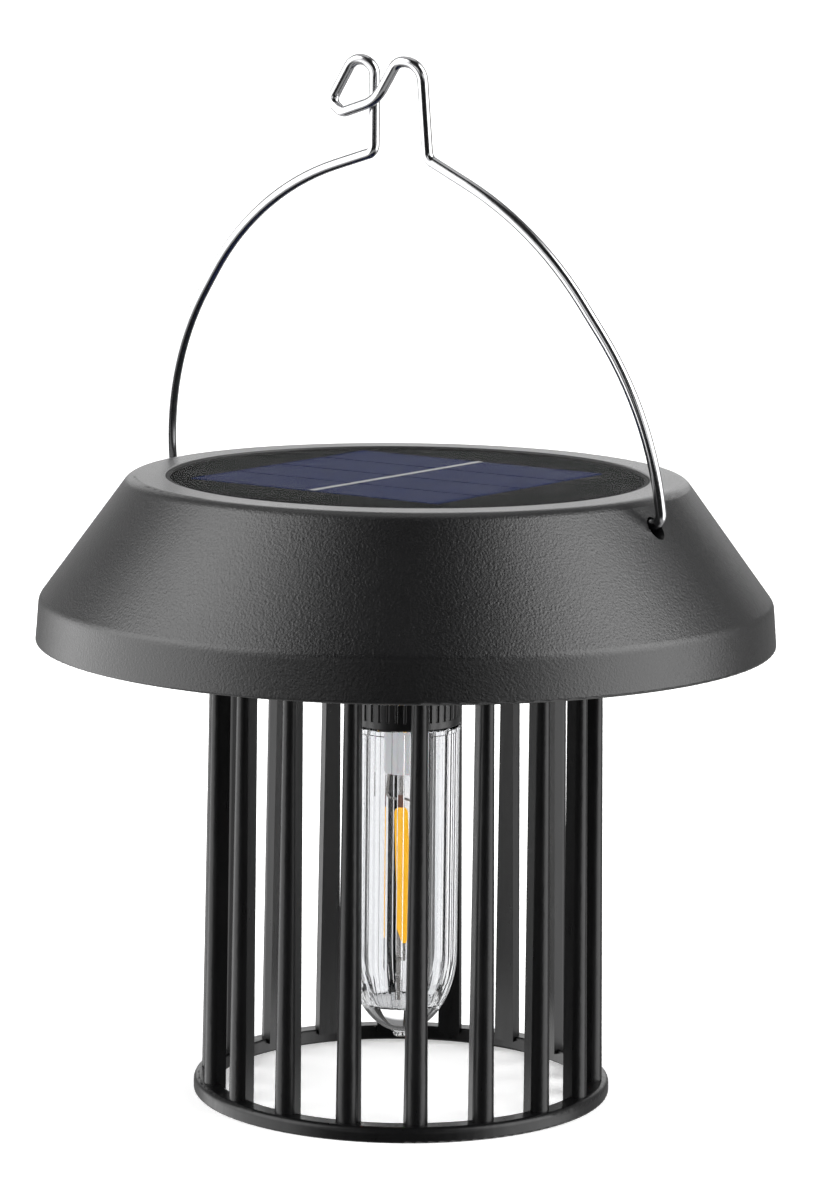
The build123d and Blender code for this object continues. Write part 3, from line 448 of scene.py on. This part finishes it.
def glossy_plastic(name, color, low=0.25, high=0.4):
    """Plastic with a roughness from low to high."""
    surface = Surface(name, color)
    surface.vary(surface.noise(scale=150.0, detail=3), amount=0.12)
    surface.rough(surface.noise(scale=500.0, detail=3), low, high)
    surface.bump(surface.noise(scale=2200.0, detail=3), depth=0.008)
    return surface.material


MASK_GREEN = (0.012, 0.115, 0.045)
MASK_DARK = (0.010, 0.095, 0.038)
TRACK_GREEN = (0.030, 0.175, 0.070)


def solder_mask():
    """Green lacquer over copper tracks that show through as slightly lighter lines."""
    surface = Surface("board_green", MASK_GREEN)
    tracks = surface.combine(surface.waves(scale=160.0, direction="X", warp=6.0),
                             surface.waves(scale=130.0, direction="Y", warp=5.0), "MAXIMUM")
    lines = surface.between(tracks, 0.0, 1.0, start=0.82, end=0.9)
    surface.paint(surface.mix(lines, MASK_DARK, TRACK_GREEN))
    surface.rough(surface.noise(scale=500.0, detail=3), low=0.25, high=0.4)
    surface.bump(lines, depth=0.02)
    return surface.material


def dress(materials):
    """Gives each CAD node the material of its slot in the record."""
    for row in frame["record"]["subparts"]:
        node = nodes[row["node"]]
        material = materials[row["material_slot"]]
        node.data.materials.clear()
        node.data.materials.append(material)


# ------------------------------------------------------------------ mesh pieces
def add_piece(name, mesh, material, body, replaced=()):
    """Shows a mesh as a piece that rides on a body and may stand for CAD nodes."""
    thing = bpy.data.objects.new(name, mesh)
    bpy.context.scene.collection.objects.link(thing)
    mesh.materials.append(material)
    if replaced:
        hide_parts(*replaced)
    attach(thing, body)


ON_AXIS = 1e-9                      # a radius below this is a single point on the axis


def spun_mesh(name, profile, angles, radius_at):
    """A closed solid turned about Z. The profile starts and ends on the axis."""
    build = bmesh.new()
    rings = []
    for row, (radius, z) in enumerate(profile):
        if radius < ON_AXIS:
            rings.append([build.verts.new((0.0, 0.0, z))])
            continue
        ring = []
        for angle, share in angles:
            reach = radius_at(row, radius, share)
            ring.append(build.verts.new((reach * cos(angle), reach * sin(angle), z)))
        rings.append(ring)
    sides = len(angles)
    for low, high in zip(rings, rings[1:]):
        for side in range(sides):
            following = (side + 1) % sides
            if len(low) == 1:
                build.faces.new((low[0], high[following], high[side]))
            elif len(high) == 1:
                build.faces.new((low[side], low[following], high[0]))
            else:
                build.faces.new((low[side], low[following], high[following], high[side]))
    bmesh.ops.recalc_face_normals(build, faces=build.faces[:])
    mesh = bpy.data.meshes.new(name)
    build.to_mesh(mesh)
    build.free()
    mesh.shade_smooth()
    return mesh


# ------------------------------------------------------------------ the clear lens
LENS_RADIUS = 11.2
LENS_DOME_Z = 29.0
LENS_DOME_HEIGHT = 17.0
LENS_BORE_RADIUS = 9.1
LENS_BORE_DOME_HEIGHT = 14.6
LENS_WELL = (6.5, 18.3, 0.8)        # radius, height and bevel of the flat floor inside
LENS_FLANGE = (11.5, 75.3, 76.3)    # radius, bottom and top
LENS_FLANGE_EDGE = 0.1              # bevel of the flange's rims
LENS_SPIGOT_RADIUS = 9.8
LENS_SMALL_EDGE = 0.15              # bevel of the spigot's rim and under the flange
LENS_MOUTH_RADIUS = 8.2
LENS_MOUTH_SLOPE = 0.9              # height of the slope from the mouth out to the bore
LENS_WELL_RING = 3.0                # radius of a ring that divides the well's floor
LENS_BEVEL_POINT = (0.3, 0.25)      # way in, as a share of the bevel, and height over the floor
LENS_STRAIGHT_STEPS = 12
LENS_DOME_STEPS = 28
LENS_BOWL_STEPS = 24
LENS_CREASE = 28.0                  # degrees
LENS_RIBS = 24
LENS_RIB_DEPTH = 0.15
# corners of one rib and the valley beside it, as shares of the pitch
RIB_CORNERS = (0.0, 0.11, 0.22, 0.33, 0.44, 0.5, 0.61, 0.72, 0.83, 0.94)
RIB_TOP = (0.5, 0.94)


def dome(radius, height, start, steps):
    """Points up an elliptical dome from a radius at its foot to its rim."""
    first = atan2(sqrt(1.0 - (start / radius) ** 2), start / radius)
    turns = [first * (1.0 - i / steps) for i in range(steps + 1)]
    return [(radius * cos(t), LENS_DOME_Z - height * sin(t)) for t in turns]


# radius, and height above its foot, of the nub under the dome: two rounded rings
NUB = [(0.0, 0.0), (1.4, 0.0), (1.65, 0.12), (1.78, 0.45), (1.7, 0.75), (1.55, 0.88),
       (1.7, 0.98), (2.1, 1.02), (2.3, 1.2), (2.3, 1.42)]
NUB_DOME_RADIUS = 2.7               # where the dome starts, outside the nub


def make_lens(material):
    """The lamp's tube: smooth outside, ribbed inside, closed by a dome with a nub."""
    low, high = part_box("lens_tube")
    foot, top = low.z / MM, high.z / MM
    nub = [(r, foot + rise) for r, rise in NUB]
    outside = nub + dome(LENS_RADIUS, LENS_DOME_HEIGHT, NUB_DOME_RADIUS, LENS_DOME_STEPS)
    flange_radius, flange_foot, flange_top = LENS_FLANGE
    levels = [LENS_DOME_Z + (flange_foot - LENS_DOME_Z) * k / LENS_STRAIGHT_STEPS
              for k in range(1, LENS_STRAIGHT_STEPS)]
    outside += [(LENS_RADIUS, z) for z in levels]
    outside += [
        (LENS_RADIUS, flange_foot - LENS_SMALL_EDGE),
        (LENS_RADIUS + LENS_FLANGE_EDGE, flange_foot),
        (flange_radius - LENS_FLANGE_EDGE, flange_foot),
        (flange_radius, flange_foot + LENS_FLANGE_EDGE),
        (flange_radius, flange_top - LENS_FLANGE_EDGE),
        (flange_radius - LENS_FLANGE_EDGE, flange_top),
        (LENS_SPIGOT_RADIUS, flange_top),
        (LENS_SPIGOT_RADIUS, top - LENS_SMALL_EDGE),
        (LENS_SPIGOT_RADIUS - LENS_SMALL_EDGE, top),
        (LENS_MOUTH_RADIUS, top),
    ]
    inside = [(LENS_MOUTH_RADIUS, flange_top + LENS_MOUTH_SLOPE), (LENS_BORE_RADIUS, flange_top)]
    inside += [(LENS_BORE_RADIUS, z) for z in reversed(levels)]
    bowl = dome(LENS_BORE_RADIUS, LENS_BORE_DOME_HEIGHT, LENS_WELL[0], LENS_BOWL_STEPS)
    inside += reversed(bowl)
    well_radius, well_z, well_bevel = LENS_WELL
    way_in, rise = LENS_BEVEL_POINT
    floor = [(well_radius - well_bevel, well_z), (LENS_WELL_RING, well_z), (0.0, well_z)]
    inside += [(well_radius - well_bevel * way_in, well_z + rise)] + floor
    # the ribs run from the head of the bore down to the bevel of the well
    ribbed = range(len(outside) + 1, len(outside) + len(inside) - len(floor))

    def radius_at(row, radius, share):
        if row in ribbed and RIB_TOP[0] <= share <= RIB_TOP[1]:
            return radius - LENS_RIB_DEPTH * MM
        return radius

    turns = [(k + share, share) for k in range(LENS_RIBS) for share in RIB_CORNERS]
    angles = [(tau * turn / LENS_RIBS, share) for turn, share in turns]
    profile = [(r * MM, z * MM) for r, z in outside + inside]
    mesh = spun_mesh("lens", profile, angles, radius_at)
    mesh.set_sharp_from_angle(angle=radians(LENS_CREASE))
    add_piece("lens", mesh, material, "root", ["lens_tube"])


# ------------------------------------------------------------------ resin over the cells
RESIN_SIDES = 240
RESIN_CLEARANCE = 0.03              # between the cells and the resin, so faces never coincide
RESIN_EDGE = 0.12                   # rounding of the rim
RESIN_CORNER = 0.3                  # where the rounding's middle lies, as a share of it
RESIN_CREASE = 50.0                 # degrees


def make_resin(material):
    """The clear face of the panel: a thin disc with a rounded rim."""
    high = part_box("panel_cover")[1]
    radius, top = high.x / MM, high.z / MM
    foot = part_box("solar_cells")[1].z / MM + RESIN_CLEARANCE
    profile = [(0.0, foot), (radius, foot), (radius, top - RESIN_EDGE),
               (radius - RESIN_EDGE * RESIN_CORNER, top - RESIN_EDGE * RESIN_CORNER),
               (radius - RESIN_EDGE, top), (radius / 2.0, top), (0.0, top)]
    angles = [(tau * k / RESIN_SIDES, 0.0) for k in range(RESIN_SIDES)]
    mesh = spun_mesh("panel_resin_face", [(r * MM, z * MM) for r, z in profile], angles,
                     lambda row, radius, share: radius)
    mesh.set_sharp_from_angle(angle=radians(RESIN_CREASE))
    add_piece("panel_resin_face", mesh, material, "root", ["panel_cover"])


# ------------------------------------------------------------------ fingers on the cells
CELL_STRIPS = 4
CELL_GAP = 1.0
CELL_TURN = -35.1
CELL_ARRAY = 60.0
CELL_TRIM_RADIUS = 46.6
FINGERS = 9
FINGER_WIDTH = 0.06
FINGER_HEIGHT = 0.006
FINGER_MARGIN = 0.9


def make_fingers(material):
    """Fine silver lines printed along each strip of the solar cells."""
    low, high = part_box("solar_cells")
    turn = radians(CELL_TURN)
    pitch = CELL_ARRAY / CELL_STRIPS
    across_array = CELL_ARRAY - CELL_GAP
    # how far the turned array reaches along Y, with whole corners
    depth = CELL_ARRAY * abs(sin(turn)) + across_array * cos(turn)
    centre_x = (low.x + high.x) / 2.0 / MM
    centre_y = low.y / MM + depth / 2.0
    reach = CELL_ARRAY / 2.0 - FINGER_MARGIN
    trim = CELL_TRIM_RADIUS - FINGER_MARGIN
    # the centre of the light, in the array's own axes
    axis_along = -(centre_x * cos(turn) + centre_y * sin(turn))
    axis_across = centre_x * sin(turn) - centre_y * cos(turn)
    build = bmesh.new()
    for index in range(CELL_STRIPS):
        middle = (index - (CELL_STRIPS - 1) / 2.0) * pitch
        for finger in range(FINGERS):
            across = middle + (pitch - CELL_GAP) * ((finger + 0.5) / FINGERS - 0.5)
            half_chord = sqrt(trim**2 - (across - axis_across) ** 2)
            start = max(-reach, axis_along - half_chord)
            end = min(reach, axis_along + half_chord)
            bar = bmesh.ops.create_cube(build, size=1.0)["verts"]
            size = (end - start, FINGER_WIDTH, FINGER_HEIGHT)
            bmesh.ops.scale(build, vec=[s * MM for s in size], verts=bar)
            spot = ((start + end) / 2.0, across, FINGER_HEIGHT / 2.0)
            bmesh.ops.translate(build, vec=[s * MM for s in spot], verts=bar)
    place = Matrix.Translation((centre_x * MM, centre_y * MM, high.z))
    bmesh.ops.transform(build, matrix=place @ Matrix.Rotation(turn, 4, "Z"),
                        verts=build.verts[:])
    mesh = bpy.data.meshes.new("cell_fingers")
    build.to_mesh(mesh)
    build.free()
    add_piece("cell_fingers", mesh, material, "root")


# ------------------------------------------------------------------ build
BLACK = (0.0034, 0.0034, 0.0037)

bpy.context.scene.view_settings.view_transform = "Standard"
make_camera()
make_studio()
make_floor()
make_overhead_lamp()

materials = {
    "black_plastic": moulded_plastic("black_plastic", BLACK, rough=0.32, gloss=0.26),
    "socket_plastic": moulded_plastic("socket_plastic", BLACK, rough=0.30),
    "panel_resin": panel_resin(),
    "cell_silicon": cell_silicon(),
    "tabbing_silver": metal("tabbing_silver", (0.27, 0.27, 0.265), low=0.35, high=0.5),
    "panel_backing": panel_backing(),
    "lens_clear": clear_plastic("lens_clear", (0.71, 0.715, 0.725), rough=0.025),
    # strength is that of the holder's painted glow
    "holder_plastic": frosted("holder_plastic", (0.70, 0.70, 0.70), strength=0.42),
    "filament_phosphor": phosphor(),
    "tab_copper": metal("tab_copper", (0.30, 0.15, 0.11), low=0.35, high=0.5, stain=0.2),
    "lead_metal": metal("lead_metal", (0.42, 0.40, 0.38), low=0.2, high=0.4, stain=0.15),
    "seal_rubber": rubber("seal_rubber", (0.018, 0.018, 0.018)),
    "screw_steel": metal("screw_steel", (0.55, 0.55, 0.56), low=0.25, high=0.42),
    "wire_stainless": metal("wire_stainless", (0.46, 0.46, 0.47), low=0.16, high=0.20,
                            scratch=0.001, stain=0.03),
    "cell_nickel": metal("cell_nickel", (0.66, 0.65, 0.62), low=0.2, high=0.32),
    "cell_jacket": glossy_plastic("cell_jacket", (0.03, 0.21, 0.09)),
    "board_green": solder_mask(),
    "chip_black": glossy_plastic("chip_black", (0.012, 0.012, 0.013), low=0.45, high=0.6),
    "inductor_ferrite": glossy_plastic("inductor_ferrite", (0.05, 0.05, 0.055), low=0.5, high=0.7),
    "switch_black": moulded_plastic("switch_black", (0.012, 0.012, 0.013), rough=0.4),
    "switch_knob": moulded_plastic("switch_knob", (0.035, 0.035, 0.038), rough=0.45),
    "wire_insulation": glossy_plastic("wire_insulation", (0.42, 0.02, 0.02), low=0.3, high=0.45),
}
dress(materials)
roof_grain = grained_plastic("roof_grain", BLACK, rough=0.30, grain=0.45, depth=0.065)
nodes["roof_shell"].data.materials[0] = roof_grain

make_lens(materials["lens_clear"])
make_resin(materials["panel_resin"])
make_fingers(materials["tabbing_silver"])
